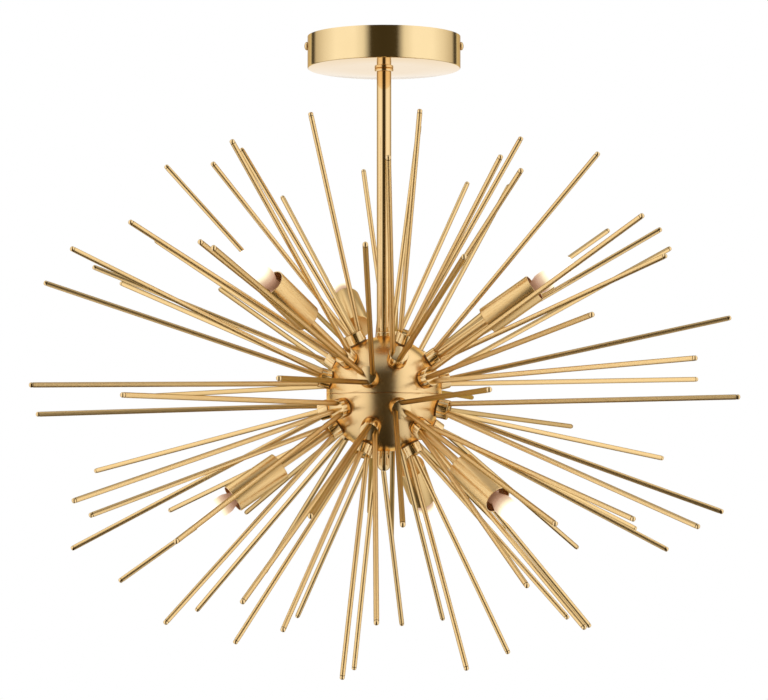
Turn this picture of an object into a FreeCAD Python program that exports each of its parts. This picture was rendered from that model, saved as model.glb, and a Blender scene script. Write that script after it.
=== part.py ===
import FreeCAD, Part
import Sketcher
import math
import os
import re

# Sputnik chandelier that hangs close under a ceiling: a cup canopy, a short stem and a split
# ball that carries thirty bosses, each with a spray of three thin rods. Six of the sprays stand
# round a lamp. Millimetres, +Z up, the ceiling is the plane z = 0 and -Y is the front.

V = FreeCAD.Vector
Rotation = FreeCAD.Rotation
Placement = FreeCAD.Placement
UP = V(0, 0, 1)
ACROSS = V(1, 0, 0)
FRONTWARD = V(0, 1, 0)

SIZES = {
    # general clearances
    "thread_gap": (0.1, "radial gap of a hole round what is screwed or pushed through it"),
    "socket_gap": (0.3, "gap round the cap of a bulb in its holder"),
    # canopy
    "canopy_radius": (60, "outside radius of the canopy"),
    "canopy_height": (25, "ceiling to the underside of the canopy"),
    "canopy_wall": (1.2, "sheet of the canopy"),
    # ceiling bracket and what is on it
    "bracket_gap": (0.8, "canopy's inner wall to the middle of a turned-down end"),
    "bracket_width": (16, "width of the strap"),
    "bracket_sheet": (1.6, "sheet of the strap"),
    "bracket_drop": (13, "ceiling to the lower edge of a turned-down end"),
    "slot_spacing": (51, "distance between the middles of the two ceiling slots"),
    "slot_width": (4.5, "width of a ceiling slot"),
    "slot_length": (15, "overall length of a ceiling slot"),
    "side_screw_drop": (7.2, "ceiling to the axis of the side screws"),
    "side_screw_radius": (2, "shank of a side screw"),
    "side_screw_length": (6, "shank of a side screw under its head"),
    "side_head_radius": (3.3, "domed head of a side screw"),
    "side_head_height": (2.4, "domed head of a side screw"),
    "small_screw_radius": (1.5, "shank of the screws on the strap"),
    "small_head_radius": (2.8, "head of the screws on the strap"),
    "small_head_height": (1.8, "head of the screws on the strap"),
    "block_gap": (1.4, "tip of a side screw to the terminal block"),
    "block_depth": (16, "terminal block along the strap"),
    "block_length": (26, "terminal block across the strap"),
    "block_height": (10, "terminal block below the strap"),
    "block_port_radius": (1.7, "wire ports through the terminal block"),
    "block_port_pitch": (8, "distance between the wire ports"),
    # stem
    "stem_radius": (5.7, "outside radius of the stem"),
    "stem_bore": (4.2, "radius of the bore of the stem"),
    "stem_length": (204, "stem between its two rings"),
    "collar_radius": (7.5, "ring under the canopy"),
    "collar_height": (2.5, "ring under the canopy"),
    "foot_radius": (6.1, "ring on top of the ball"),
    "foot_height": (4, "ring on top of the ball"),
    "nipple_radius": (4, "threaded tubes that join the stem"),
    "nipple_bore": (2.7, "wire way through the threaded tubes"),
    "nipple_grip": (20, "length of a threaded tube inside the stem"),
    "nipple_past": (1.5, "length of a threaded tube past its nut"),
    "washer_radius": (9.5, "washers on the threaded tubes"),
    "washer_height": (1.2, "washers on the threaded tubes"),
    "nut_radius": (7.5, "corner radius of the hexagon nuts on the threaded tubes"),
    "nut_height": (4, "height of those nuts"),
    # ball
    "ball_radius": (45, "outside radius of the ball"),
    "ball_wall": (3, "wall of the ball"),
    "pole_radius": (6.5, "flat on the ball under the stem ring and over the finial"),
    "inner_pole_radius": (10, "flat inside the ball for the washer at the top"),
    "window_width": (4, "side opening of the threaded tube for the wires"),
    "window_height": (16, "side opening of the threaded tube for the wires"),
    "finial_radius": (5.3, "finial under the ball"),
    "finial_height": (15.5, "finial under the ball"),
    "finial_end_radius": (2.2, "flat at the very end of the finial"),
    "finial_dome": (4.5, "domed part of the finial"),
    "finial_thread": (8, "depth of the thread in the finial"),
    # bosses and rods
    "boss_height": (8.5, "boss above the ball"),
    "boss_rim": (0.3, "face of a boss outside its rods"),
    "rod_radius": (2, "radius of a rod"),
    "rod_arm_gap": (0.28, "gap between a rod and a lamp's arm where both leave the boss"),
    "splay": (15, "degrees that each rod leans away from the axis of its boss"),
    "rod_end_radius": (1.3, "flat at the end of a rod's rounded tip"),
    "rod_end_height": (0.8, "rounded tip of a rod"),
    "waist_rod": (225.5, "rods of the rings beside the seam"),
    "shoulder_rod": (199.5, "rods of the middle rings"),
    "crown_rod": (173.5, "rods of the rings nearest the poles"),
    "waist_elevation": (14, "degrees between the seam and those rings"),
    "shoulder_elevation": (34, "degrees between the seam and those rings"),
    "crown_elevation": (62, "degrees between the seam and those rings"),
    # lamps
    "arm_radius": (3, "tube that carries a lamp"),
    "arm_thread_radius": (2.4, "threaded ends of that tube"),
    "arm_bore": (1.5, "wire way through that tube"),
    "arm_nut_radius": (4.6, "corner radius of the small hexagon nuts"),
    "arm_nut_height": (3, "height of the small nuts"),
    "arm_past": (0.6, "threaded end past its nut"),
    "arm_seat_radius": (5.6, "flat inside the ball for a small nut"),
    "arm_seat_depth": (0.8, "depth of that flat in the ball's inner wall"),
    "cup_rod_gap": (4.5, "gap between the rods and the back of a cup"),
    "cup_radius": (11.25, "outside radius of a cup"),
    "cup_wall": (0.8, "tube of a cup"),
    "cup_floor": (1.2, "back of a cup"),
    "cup_length": (45, "length of a cup"),
    "holder_gap": (0.7, "gap between a lampholder and its cup"),
    "holder_length": (25, "lampholder"),
    "holder_recess": (4.4, "hollow under the lampholder, round the small nut"),
    "cap_width": (12.4, "flat cap of a bulb, long side"),
    "cap_thickness": (4.4, "flat cap of a bulb, short side"),
    "cap_depth": (9, "depth of a cap in its lampholder"),
    "cap_length": (14, "flat cap of a bulb"),
    "pin_radius": (0.8, "pins of a bulb"),
    "pin_length": (4.5, "pins of a bulb"),
    "pin_spacing": (9, "distance between the two pins"),
    "bulb_radius": (7.75, "glass of a bulb"),
    "bulb_neck": (4.5, "glass of a bulb where it leaves the cap"),
    "bulb_shoulder": (7, "length over which the glass widens"),
    "bulb_reach": (36, "glass past the mouth of the cup"),
    "bulb_dome": (5.5, "rounded end of the glass"),
}

# Round pieces that repeat, and small ones, are drawn with this many flats to the full circle.
WIRE_WAY_SIDES = 6
ROD_SIDES = 8
SCREW_SIDES = 10
TUBE_SIDES = 16
ARM_SIDES = 8
BOSS_SIDES = 12
BULB_SIDES = 12
CUP_SIDES = 16
RING_SIDES = 24
INSIDE_SIDES = 16
BALL_SIDES = 36
BALL_BANDS = 6
INSIDE_BANDS = 3

# The rings of bosses on the upper half, as the photograph shows them: the piece of the ring's
# name, the bearing of its first boss in degrees from the front towards the right, the number of
# bosses, and how far each spray is turned about the axis of its boss, in degrees.
# The lower half carries the same rings turned half round about the front-to-back axis.
RINGS = (
    ("crown", -75, 3, {"upper": (90, 35, 15), "lower": (10, 80, 70)}),
    (
        "shoulder",
        -45,
        6,
        {"upper": (105, 55, 20, 90, 75, 100), "lower": (95, 110, 100, 100, 55, 70)},
    ),
    (
        "waist",
        -15,
        6,
        {"upper": (60, 105, 95, 55, 60, 70), "lower": (0, 105, 85, 0, 75, 5)},
    ),
)
# Which bosses of the shoulder rings carry a lamp, and what the lamps there are called.
LAMPS = {
    "upper": {0: "upper_front", 2: "upper_right", 4: "upper_rear"},
    "lower": {0: "lower_front", 2: "lower_left", 4: "lower_rear"},
}
RODS_PER_SPRAY = 3

doc = FreeCAD.newDocument("SputnikChandelier")
sheet = doc.addObject("Spreadsheet::Sheet", "Sizes")
for row, (name, (value, meaning)) in enumerate(SIZES.items(), start=1):
    sheet.set("A%d" % row, meaning)
    sheet.set("B%d" % row, str(value))
    sheet.setAlias("B%d" % row, name)
doc.recompute()


# --- formulas in the sheet's own words ---------------------------------------------------------


def formula(text):
    """The text with each name of the sheet written the way the document reads it."""
    return re.sub(r"[a-z_]+", lambda m: "Sizes." + m[0] if m[0] in SIZES else m[0], str(text))


def number(text):
    return float(sheet.evalExpression(formula(text)))


POLE_HEIGHT = "sqrt(ball_radius^2 - pole_radius^2)"
CANOPY_UNDERSIDE = "(-canopy_height)"
STEM_TOP = "(%s - collar_height)" % CANOPY_UNDERSIDE
STEM_FOOT = "(%s - stem_length)" % STEM_TOP
BALL_CENTRE = "(%s - foot_height - %s)" % (STEM_FOOT, POLE_HEIGHT)
BOSS_FACE = "(ball_radius + boss_height)"
ROD_SPREAD = "(rod_radius / cos(splay))"
ROD_CIRCLE = "(arm_radius + rod_arm_gap + %s)" % ROD_SPREAD
BOSS_RADIUS = "(%s + %s + boss_rim)" % (ROD_CIRCLE, ROD_SPREAD)
CUP_BACK = "(%s + (cup_radius + cup_rod_gap + %s - %s) / tan(splay))" % (
    BOSS_FACE,
    ROD_SPREAD,
    ROD_CIRCLE,
)
CUP_MOUTH = "(%s + cup_length)" % CUP_BACK
ARM_SEAT = "(ball_radius - ball_wall + arm_seat_depth)"
HOLDER_BACK = "(%s + cup_floor)" % CUP_BACK
HOLDER_FACE = "(%s + holder_length)" % HOLDER_BACK
CAP_BACK = "(%s - cap_depth + socket_gap)" % HOLDER_FACE
BRACKET_END = "(canopy_radius - canopy_wall - bracket_gap)"
BLOCK_MIDDLE = "(canopy_radius - side_screw_length - block_gap - block_depth / 2)"


# --- building blocks ---------------------------------------------------------------------------

pieces = []


def piece(thing, name):
    """Keep a finished sub-part under its own name."""
    thing.Label = name
    pieces.append(thing)
    return thing


def place(thing, x=0, y=0, z=0):
    for axis, text in (("x", x), ("y", y), ("z", z)):
        if text:
            thing.setExpression("Placement.Base." + axis, formula(text))
    return thing


def solid(kind, name, x=0, y=0, z=0, turned=None, **sizes):
    """A Part primitive with its sizes and its place bound to the sheet."""
    thing = doc.addObject("Part::" + kind, name)
    for size, text in sizes.items():
        if size == "Polygon":
            thing.Polygon = text
        else:
            thing.setExpression(size, formula(text))
    if turned:
        thing.Placement = Placement(V(), Rotation(*turned))
    return place(thing, x, y, z)


def fused(name, *things):
    thing = doc.addObject("Part::MultiFuse", name)
    thing.Shapes = list(things)
    return thing


def cut(name, base, *tools):
    thing = doc.addObject("Part::Cut", name)
    thing.Base = base
    thing.Tool = tools[0] if len(tools) == 1 else fused(name + "Tools", *tools)
    return thing


def turned_body(name, z, profile):
    """A body turned on the Z axis; profile lists (radius, height above z) round its section."""
    body = doc.addObject("PartDesign::Body", name)
    place(body, z=z)
    plane = [f for f in body.Origin.OriginFeatures if f.Role == "XZ_Plane"][0]
    sketch = body.newObject("Sketcher::SketchObject", name + "Section")
    sketch.AttachmentSupport = (plane, [""])
    sketch.MapMode = "FlatFace"
    points = [V(number(r), number(h), 0) for r, h in profile]
    count = len(points)
    for k in range(count):
        sketch.addGeometry(Part.LineSegment(points[k], points[(k + 1) % count]), False)
    for k in range(count):
        sketch.addConstraint(Sketcher.Constraint("Coincident", k, 2, (k + 1) % count, 1))
    for k, (radius, height) in enumerate(profile):
        for kind, axis, text in (("DistanceX", -2, radius), ("DistanceY", -1, height)):
            if number(text) == 0:
                sketch.addConstraint(Sketcher.Constraint("PointOnObject", k, 1, axis))
                continue
            index = sketch.addConstraint(
                Sketcher.Constraint(kind, -1, 1, k, 1, number(text))
            )
            sketch.setExpression("Constraints[%d]" % index, formula(text))
    turning = body.newObject("PartDesign::Revolution", name + "Turned")
    turning.Profile = sketch
    turning.ReferenceAxis = (sketch, ["V_Axis"])
    turning.Angle = 360
    body.Tip = turning
    return body


def bar(name, radius, height, x=0, y=0, z=0, turned=None, sides=SCREW_SIDES):
    """A straight round bar or hole drawn with flats."""
    return solid("Prism", name, x, y, z, turned, Polygon=sides, Circumradius=radius, Height=height)


def ring(name, z, outer, inner, height, sides=RING_SIDES):
    blank = bar(name + "Blank", outer, height, z=z, sides=sides)
    hole = bar(name + "Hole", inner, height, z=z, sides=TUBE_SIDES)
    return cut(name, blank, hole)


def hex_nut(name, z, corner, height, bore):
    return ring(name, z, corner, bore, height, sides=6)


def flats(profile, sides):
    """A turned solid drawn with flats; profile lists (radius, height) along its axis."""
    rings = []
    for radius, height in profile:
        corners = [Rotation(UP, 360.0 * k / sides).multVec(V(radius, 0, 0)) for k in range(sides)]
        rings.append([c + V(0, 0, height) for c in corners])
    loops = [rings[0], rings[-1]]
    for low, high in zip(rings, rings[1:]):
        for k in range(sides):
            after = (k + 1) % sides
            loops.append([low[k], low[after], high[after], high[k]])
    faces = [Part.Face(Part.makePolygon(loop + loop[:1])) for loop in loops]
    shape = Part.Solid(Part.Shell(faces))
    shape.fixTolerance(1e-7)
    if shape.Volume < 0:
        shape.reverse()
    return shape


def flats_of(texts, sides):
    return flats([(number(radius), number(height)) for radius, height in texts], sides)


def straight(radius, low, high, sides):
    return flats_of([(radius, low), (radius, high)], sides)


def box_of(width, depth, low, high):
    """A box centred on the Z axis, from low to high along it."""
    sizes = [number(text) for text in (width, depth, "%s - %s" % (high, low))]
    return Part.makeBox(*sizes, V(-sizes[0] / 2, -sizes[1] / 2, number(low)))


def feature(name, shape, where=None):
    thing = doc.addObject("Part::Feature", name)
    thing.Shape = shape
    if where:
        thing.Placement = where
    return thing


# --- canopy and what it hides ------------------------------------------------------------------


def side_bar(name, radius, length, start, side):
    """A bar along X at the height of the side screws; side is 1 on the right, -1 on the left."""
    return bar(
        name, radius, length, x="%d * %s" % (side, start), z="-side_screw_drop",
        turned=(FRONTWARD, 90 * side),
    )


def make_canopy():
    wall_inside = "canopy_radius - canopy_wall"
    hole = "nipple_radius + thread_gap"
    cup = turned_body(
        "CanopyCup",
        CANOPY_UNDERSIDE,
        [
            (hole, 0),
            ("canopy_radius", 0),
            ("canopy_radius", "canopy_height"),
            (wall_inside, "canopy_height"),
            (wall_inside, "canopy_wall"),
            (hole, "canopy_wall"),
        ],
    )
    holes = [
        side_bar(
            "CanopySideHole", "side_screw_radius + thread_gap", "4 * canopy_wall",
            "(canopy_radius - 3 * canopy_wall)", side,
        )
        for side in (1, -1)
    ]
    piece(cut("Canopy", cup, *holes), "canopy")


def slot_tool(side):
    """One ceiling slot: a box with a round at each end."""
    middle = "%d * slot_spacing / 2" % side
    straight = "(slot_length - slot_width)"
    depth = "3 * bracket_sheet"
    below = "-2 * bracket_sheet"
    parts = [
        solid(
            "Box", "SlotMiddle", x="%s - %s / 2" % (middle, straight), y="-slot_width / 2",
            z=below, Length=straight, Width="slot_width", Height=depth,
        )
    ]
    for end in (1, -1):
        parts.append(
            solid(
                "Cylinder", "SlotEnd", x="%s + %d * %s / 2" % (middle, end, straight),
                z=below, Radius="slot_width / 2", Height=depth,
            )
        )
    return fused("Slot", *parts)


def make_bracket():
    strap = solid(
        "Box", "Strap", x="-" + BRACKET_END, y="-bracket_width / 2", z="-bracket_sheet",
        Length="2 * " + BRACKET_END, Width="bracket_width", Height="bracket_sheet",
    )
    ends = [
        solid(
            "Box", "StrapEnd", x=inner, y="-bracket_width / 2", z="-bracket_drop",
            Length="bracket_sheet", Width="bracket_width", Height="bracket_drop",
        )
        for inner in ("-" + BRACKET_END, BRACKET_END + " - bracket_sheet")
    ]
    blank = fused("BracketBlank", strap, *ends)
    holes = [slot_tool(1), slot_tool(-1)]
    for side in (1, -1):
        holes.append(
            side_bar(
                "TappedEnd", "side_screw_radius + thread_gap", "4 * bracket_sheet",
                "(%s - 3 * bracket_sheet)" % BRACKET_END, side,
            )
        )
        holes.append(
            bar(
                "StrapHole", "small_screw_radius + thread_gap", "3 * bracket_sheet",
                x="%d * %s" % (side, BLOCK_MIDDLE), z="-2 * bracket_sheet",
            )
        )
    piece(cut("Bracket", blank, *holes), "ceiling_bracket")


def screw_up(name, x, head_low, reach):
    """A screw with its head down, driven upwards to reach above the underside of its head."""
    head = bar(
        name + "Head", "small_head_radius", "small_head_height",
        x=x, z="%s - small_head_height" % head_low,
    )
    shank = bar(name + "Shank", "small_screw_radius", reach, x=x, z=head_low)
    return fused(name, head, shank)


def make_terminal_block():
    body = solid(
        "Box", "BlockBody", x="%s - block_depth / 2" % BLOCK_MIDDLE, y="-block_length / 2",
        z="-bracket_sheet - block_height",
        Length="block_depth", Width="block_length", Height="block_height",
    )
    ports = [
        bar(
            "BlockPort", "block_port_radius", "2 * block_depth",
            x="%s - block_depth" % BLOCK_MIDDLE, y="%d * block_port_pitch" % end,
            z="-bracket_sheet - block_height / 2", turned=(FRONTWARD, 90),
        )
        for end in (-1, 1)
    ]
    fixing = bar(
        "BlockFixing", "small_screw_radius + thread_gap", "3 * block_height",
        x=BLOCK_MIDDLE, z="-bracket_sheet - 2 * block_height",
    )
    piece(cut("TerminalBlock", body, fixing, *ports), "terminal_block")
    screw = screw_up(
        "BlockScrew", BLOCK_MIDDLE, "(-bracket_sheet - block_height)",
        "bracket_sheet + block_height - thread_gap",
    )
    piece(screw, "terminal_block_screw")
    earth = screw_up(
        "EarthScrew", "-" + BLOCK_MIDDLE, "(-bracket_sheet)", "bracket_sheet - thread_gap"
    )
    piece(earth, "earth_screw")


def make_side_screws():
    screw = flats_of(
        [
            ("side_screw_radius", "-side_screw_length"),
            ("side_screw_radius", 0),
            ("side_head_radius", 0),
            ("side_head_radius", "side_head_height * 0.25"),
            ("side_head_radius * 0.8", "side_head_height * 0.75"),
            ("side_head_radius * 0.4", "side_head_height"),
        ],
        SCREW_SIDES,
    )
    screws = []
    for side in (1, -1):
        copy = screw.copy()
        copy.Placement = Placement(
            V(side * number("canopy_radius"), 0, -number("side_screw_drop")),
            Rotation(FRONTWARD, 90 * side),
        )
        screws.append(copy)
    piece(feature("SideScrews", Part.makeCompound(screws)), "canopy_side_screws")


# --- stem --------------------------------------------------------------------------------------


def make_stem():
    bore = "nipple_radius + thread_gap"
    floor = "(%s + canopy_wall)" % CANOPY_UNDERSIDE
    piece(ring("Washer", floor, "washer_radius", bore, "washer_height"), "canopy_washer")
    nut_seat = "(%s + washer_height)" % floor
    piece(hex_nut("LockNut", nut_seat, "nut_radius", "nut_height", bore), "canopy_lock_nut")
    foot = "(%s - nipple_grip)" % STEM_TOP
    top = "(%s + nut_height + nipple_past)" % nut_seat
    nipple = ring(
        "Nipple", foot, "nipple_radius", "nipple_bore", "%s - %s" % (top, foot), TUBE_SIDES
    )
    piece(nipple, "stem_nipple")
    piece(ring("Collar", STEM_TOP, "collar_radius", bore, "collar_height"), "stem_collar")
    tube = turned_body(
        "Tube",
        STEM_FOOT,
        [
            ("stem_bore", 0),
            ("stem_radius", 0),
            ("stem_radius", "stem_length"),
            ("stem_bore", "stem_length"),
        ],
    )
    piece(tube, "stem_tube")
    ring_seat = "(%s - foot_height)" % STEM_FOOT
    piece(ring("FootRing", ring_seat, "foot_radius", bore, "foot_height"), "stem_foot_ring")


# --- ball --------------------------------------------------------------------------------------


def half_ball(radius, pole_radius, sides, bands):
    """Half a ball with its flat face on z = 0 and a flat of the given radius at its pole."""
    pole_angle = math.acos(pole_radius / radius)
    angles = [pole_angle * band / bands for band in range(bands + 1)]
    return flats([(radius * math.cos(a), radius * math.sin(a)) for a in angles], sides)


def turned_over(shape):
    """The shape turned half round about the front-to-back axis."""
    other = shape.copy()
    other.rotate(V(), FRONTWARD, 180)
    return other


def spray_placement(half, ring, first, step, index, turn):
    """Where a boss stands: its Z axis points outwards from the centre of the ball."""
    side = 1 if half == "upper" else -1
    bearing = side * (first + step * index)
    elevation = side * number(ring + "_elevation")
    lying = Rotation(UP, bearing) * Rotation(ACROSS, 90 - elevation) * Rotation(UP, turn)
    return Placement(V(0, 0, number(BALL_CENTRE)), lying)


def sprays(half, ring):
    """The placements of one ring's sprays, in order."""
    for name, first, count, turns in RINGS:
        if name == ring:
            return [
                spray_placement(half, ring, first, 360 / count, index, turns[half][index])
                for index in range(count)
            ]


def make_ball():
    radius, wall = number("ball_radius"), number("ball_wall")
    inner = half_ball(radius - wall, number("inner_pole_radius"), INSIDE_SIDES, INSIDE_BANDS)
    outer = half_ball(radius, number("pole_radius"), BALL_SIDES, BALL_BANDS)
    shell = outer.cut(inner).cut(straight("nipple_radius + thread_gap", 0, "2 * ball_radius",
                                          TUBE_SIDES))
    centre = V(0, 0, number(BALL_CENTRE))
    for half in ("upper", "lower"):
        shape = shell.copy() if half == "upper" else turned_over(shell)
        shape.translate(centre)
        for index in LAMPS[half]:
            way = straight("arm_thread_radius + thread_gap", 0, "2 * ball_radius", ARM_SIDES)
            tool = way.fuse(straight("arm_seat_radius", 0, ARM_SEAT, ARM_SIDES))
            tool.Placement = sprays(half, "shoulder")[index]
            shape = shape.cut(tool)
        piece(feature("Ball" + half.capitalize(), shape), "ball_%s_shell" % half)
    return outer, centre


def make_ball_fixings():
    bore = "nipple_radius + thread_gap"
    inner_pole = "sqrt((ball_radius - ball_wall)^2 - inner_pole_radius^2)"
    washer_low = "(%s + %s - washer_height)" % (BALL_CENTRE, inner_pole)
    washer = ring("BallWasher", washer_low, "washer_radius", bore, "washer_height")
    piece(washer, "ball_washer")
    nut_low = "(%s - nut_height)" % washer_low
    piece(hex_nut("BallNut", nut_low, "nut_radius", "nut_height", bore), "ball_lock_nut")
    finial_top = "(%s - %s)" % (BALL_CENTRE, POLE_HEIGHT)
    rod_low = "(%s - finial_thread + 4 * thread_gap)" % finial_top
    rod_top = "(%s + nipple_grip)" % STEM_FOOT
    tube = ring(
        "TieTube", rod_low, "nipple_radius", "nipple_bore", "%s - %s" % (rod_top, rod_low),
        TUBE_SIDES,
    )
    window = solid(
        "Box", "Window", x="-2 * nipple_radius", y="-window_width / 2",
        z="%s - window_height / 2" % BALL_CENTRE, Length="4 * nipple_radius",
        Width="window_width", Height="window_height",
    )
    piece(cut("TieRod", tube, window), "ball_tie_tube")
    finial = flats_of(
        [
            ("finial_end_radius", 0),
            ("finial_radius * 0.82", "finial_dome * 0.4"),
            ("finial_radius", "finial_dome"),
            ("finial_radius", "finial_height"),
        ],
        TUBE_SIDES,
    )
    thread = straight(bore, "finial_height - finial_thread", "finial_height", TUBE_SIDES)
    low = Placement(V(0, 0, number("%s - finial_height" % finial_top)), Rotation())
    piece(feature("FinialTurning", finial.cut(thread), low), "finial")


# --- bosses and rods ---------------------------------------------------------------------------


def boss_blank(with_arm):
    blank = straight(BOSS_RADIUS, "ball_radius - ball_wall / 2", BOSS_FACE, BOSS_SIDES)
    if not with_arm:
        return blank
    way = straight("arm_thread_radius + thread_gap", 0, "2 * " + BOSS_FACE, ARM_SIDES)
    return blank.cut(way)


def leaning_rod(ring):
    """A rod that leans out by the splay and is cut off level with the face of the boss."""
    length = ring + "_rod"
    rod = straight("rod_radius", "-2 * rod_radius * tan(splay)", length, ROD_SIDES)
    rod.Placement = Placement(
        V(0, number(ROD_CIRCLE), number(BOSS_FACE)), Rotation(ACROSS, -number("splay"))
    )
    reach = number("%s + %s" % (BOSS_FACE, length))
    above_face = Part.makeBox(
        2 * reach, 2 * reach, reach, V(-reach, -reach, number(BOSS_FACE))
    )
    return rod.common(above_face).Solids[0]


def make_sprays(ball, centre):
    whole_ball = ball.fuse(turned_over(ball))
    whole_ball.translate(centre)
    for half in ("upper", "lower"):
        for ring, _, _, _ in RINGS:
            rod = leaning_rod(ring)
            bosses, rods = [], []
            for index, where in enumerate(sprays(half, ring)):
                with_arm = ring == "shoulder" and index in LAMPS[half]
                boss = boss_blank(with_arm)
                boss.Placement = where
                bosses.append(boss.cut(whole_ball).Solids[0])
                for k in range(RODS_PER_SPRAY):
                    round_axis = Placement(V(), Rotation(UP, 360 * k / RODS_PER_SPRAY))
                    copy = rod.copy()
                    copy.Placement = where * round_axis * rod.Placement
                    rods.append(copy)
            title = half.capitalize() + ring.capitalize()
            piece(feature(title + "Bosses", Part.makeCompound(bosses)),
                  "%s_%s_bosses" % (half, ring))
            piece(feature(title + "Rods", Part.makeCompound(rods)), "%s_%s_rods" % (half, ring))


# --- lamps -------------------------------------------------------------------------------------


def arm_shape():
    inner_end = "(%s - arm_nut_height - arm_past)" % ARM_SEAT
    outer_end = "(%s + cup_floor + arm_nut_height + arm_past)" % CUP_BACK
    tube = flats_of(
        [
            ("arm_thread_radius", inner_end),
            ("arm_thread_radius", BOSS_FACE),
            ("arm_radius", BOSS_FACE),
            ("arm_radius", CUP_BACK),
            ("arm_thread_radius", CUP_BACK),
            ("arm_thread_radius", outer_end),
        ],
        ARM_SIDES,
    )
    return tube.cut(straight("arm_bore", 0, CUP_MOUTH, WIRE_WAY_SIDES))


def small_nut(low):
    high = "%s + arm_nut_height" % low
    nut = straight("arm_nut_radius", low, high, 6)
    return nut.cut(straight("arm_thread_radius + thread_gap", low, high, ARM_SIDES))


def cup_shape():
    cup = straight("cup_radius", CUP_BACK, CUP_MOUTH, CUP_SIDES)
    cup = cup.cut(straight("cup_radius - cup_wall", HOLDER_BACK, CUP_MOUTH, CUP_SIDES))
    hole = "arm_thread_radius + thread_gap"
    return cup.cut(straight(hole, CUP_BACK, HOLDER_BACK, ARM_SIDES))


def pins(radius, low, high, sides=6):
    """The two pins of a bulb, or the ways for them."""
    shapes = []
    for side in (1, -1):
        pin = straight(radius, low, high, sides)
        pin.translate(V(side * number("pin_spacing / 2"), 0, 0))
        shapes.append(pin)
    return shapes[0].fuse(shapes[1])


def holder_shape():
    outside = "cup_radius - cup_wall - holder_gap"
    holder = straight(outside, HOLDER_BACK, HOLDER_FACE, BULB_SIDES)
    recess_floor = "(%s + holder_recess)" % HOLDER_BACK
    recess = straight("arm_nut_radius + holder_gap", HOLDER_BACK, recess_floor, ARM_SIDES)
    holder = holder.cut(recess)
    slot_floor = "(%s - cap_depth)" % HOLDER_FACE
    holder = holder.cut(
        box_of("cap_width + 2 * socket_gap", "cap_thickness + 2 * socket_gap",
               slot_floor, HOLDER_FACE)
    )
    pin_floor = "(%s - pin_length)" % slot_floor
    return holder.cut(pins("pin_radius + socket_gap", pin_floor, slot_floor))


def bulb_shape():
    glass_low = "(%s + cap_length)" % CAP_BACK
    glass_high = "(%s + bulb_reach)" % CUP_MOUTH
    glass = flats_of(
        [
            ("bulb_neck", glass_low),
            ("bulb_radius", glass_low + " + bulb_shoulder"),
            ("bulb_radius", glass_high + " - bulb_dome"),
            ("bulb_radius * 0.8", glass_high + " - bulb_dome * 0.35"),
            ("bulb_radius * 0.35", glass_high),
        ],
        BULB_SIDES,
    )
    cap = box_of("cap_width", "cap_thickness", CAP_BACK, glass_low)
    legs = pins("pin_radius", "%s - pin_length + socket_gap" % CAP_BACK, CAP_BACK)
    return glass.fuse(cap).fuse(legs)


def make_lamps():
    forms = {
        "arm": arm_shape(), "cup": cup_shape(), "lampholder": holder_shape(), "bulb": bulb_shape()
    }
    nuts = {"ball": small_nut("(%s - arm_nut_height)" % ARM_SEAT), "cup": small_nut(HOLDER_BACK)}
    placed = {"ball": [], "cup": []}
    for half, lamps in LAMPS.items():
        places = sprays(half, "shoulder")
        for index, lamp in lamps.items():
            for form, shape in forms.items():
                title = lamp.title().replace("_", "") + form.capitalize()
                piece(feature(title, shape.copy(), places[index]), "%s_%s" % (lamp, form))
            for where, nut in nuts.items():
                copy = nut.copy()
                copy.Placement = places[index]
                placed[where].append(copy)
    piece(feature("ArmNuts", Part.makeCompound(placed["ball"])), "arm_nuts")
    piece(feature("CupNuts", Part.makeCompound(placed["cup"])), "cup_nuts")


# --- the whole chandelier ----------------------------------------------------------------------

make_canopy()
make_bracket()
make_terminal_block()
make_side_screws()
make_stem()
outer_half, ball_centre = make_ball()
make_ball_fixings()
make_sprays(outer_half, ball_centre)
make_lamps()
doc.recompute()

for thing in doc.Objects:
    if {"Invalid", "Error"} & set(thing.State):
        raise RuntimeError("%s could not be built: %s" % (thing.Label, thing.State))
for thing in pieces:
    if thing.Shape.isNull() or not thing.Shape.isValid() or not thing.Shape.Solids:
        raise RuntimeError("%s has no valid solid" % thing.Label)

os.makedirs("parts", exist_ok=True)
for thing in pieces:
    thing.Shape.exportStep(os.path.join("parts", thing.Label + ".step"))
print("%d sub-parts, %d solids" % (len(pieces), sum(len(p.Shape.Solids) for p in pieces)))
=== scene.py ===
# %% [markdown]
# # A brushed gold sputnik chandelier
#
# The real lamp is a ball on a straight stem. Thirty short bosses stand on the ball, and three
# thin rods fan out of each one. Six open tubes with capsule bulbs sit between the rods. This
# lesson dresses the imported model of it: round, finely finished pieces take the place of the
# plain ones, every surface gets its own finish, and a plain studio is built round the whole.

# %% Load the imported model
import math

import bmesh
import bpy
from mathutils import Matrix, Vector


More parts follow.
